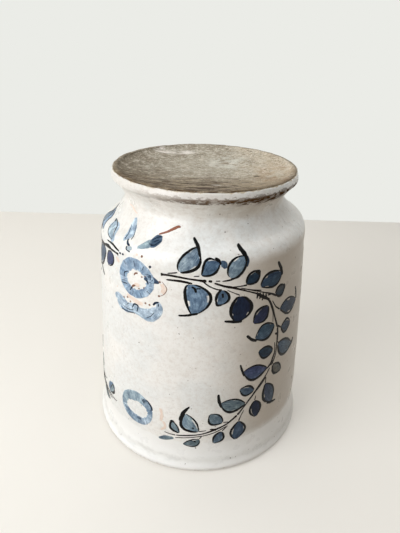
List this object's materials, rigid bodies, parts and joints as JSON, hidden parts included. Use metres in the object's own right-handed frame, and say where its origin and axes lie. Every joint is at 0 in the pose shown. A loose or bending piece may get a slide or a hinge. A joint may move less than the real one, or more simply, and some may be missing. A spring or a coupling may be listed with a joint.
{
  "type": "drug jar",
  "caption": "Small tin-glazed earthenware drug jar with a waisted neck, a hollow turned foot and a painted wreath, standing upside down on its mouth.",
  "frame": {"origin": "centre of the lip's resting ring, on the surface that the jar stands on upside down", "axes": "+Z is the turning axis, from the mouth up to the foot; -Y faces the picture's camera, and +X is to the camera's right"},
  "size_m": [0.1086, 0.1086, 0.1365],
  "materials": {
    "fired_clay": "bare fired earthenware, matt, with turning marks and old dirt",
    "lining_glaze": "glossy thin glaze over clay",
    "white_glaze": "glossy warm white tin glaze with fine specks",
    "blue_wash": "glossy, cobalt pigment under glaze",
    "black_line": "glossy black brown brush line",
    "stem_line": "glossy thin brown black brush line",
    "pale_blue_wash": "glossy thin cobalt wash",
    "rust_paint": "thin worn red brown paint"
  },
  "bodies": {
    "root": {"clay_body": "fired_clay", "lining_glaze": "lining_glaze", "outer_glaze": "white_glaze", "leaf_washes": "blue_wash", "leaf_outlines": "black_line", "wreath_stems": "stem_line", "flower_washes": "pale_blue_wash", "rust_touches": "rust_paint"}
  },
  "joints": []
}
